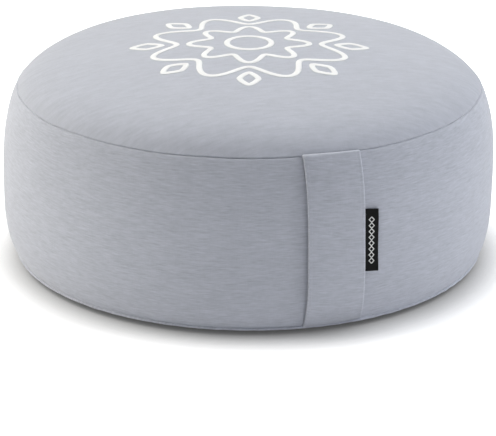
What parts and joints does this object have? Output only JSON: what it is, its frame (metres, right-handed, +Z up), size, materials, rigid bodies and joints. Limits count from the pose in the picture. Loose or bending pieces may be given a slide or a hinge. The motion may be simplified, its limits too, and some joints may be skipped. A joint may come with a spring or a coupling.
{
  "type": "meditation cushion",
  "caption": "Round filled floor cushion with a low crowned top, a bulging side drawn in at sewn seams, a flat cloth carrying strap and a small side tag.",
  "frame": {"origin": "centre of the flat face that the cushion rests on", "axes": "+Z up through the middle of the crown, -Y the front, with the strap and the tag a little to the right of it, +X to the right seen from the front"},
  "size_m": [0.356, 0.356, 0.1552],
  "materials": {
    "cover_cloth": "pale blue-grey slubby plain weave, matt, with a white line rosette on the top",
    "strap_cloth": "the same pale blue-grey weave, turned double and edge stitched, matt",
    "tag_tape": "black woven satin tape with a small plain pattern in white thread",
    "white_thread": "white satin stitch of the line rosette on the top",
    "sewing_thread": "pale blue-grey sewing thread along the strap's edges"
  },
  "bodies": {
    "root": {"cushion": "cover_cloth", "handle": "strap_cloth", "label": "tag_tape"}
  },
  "joints": []
}
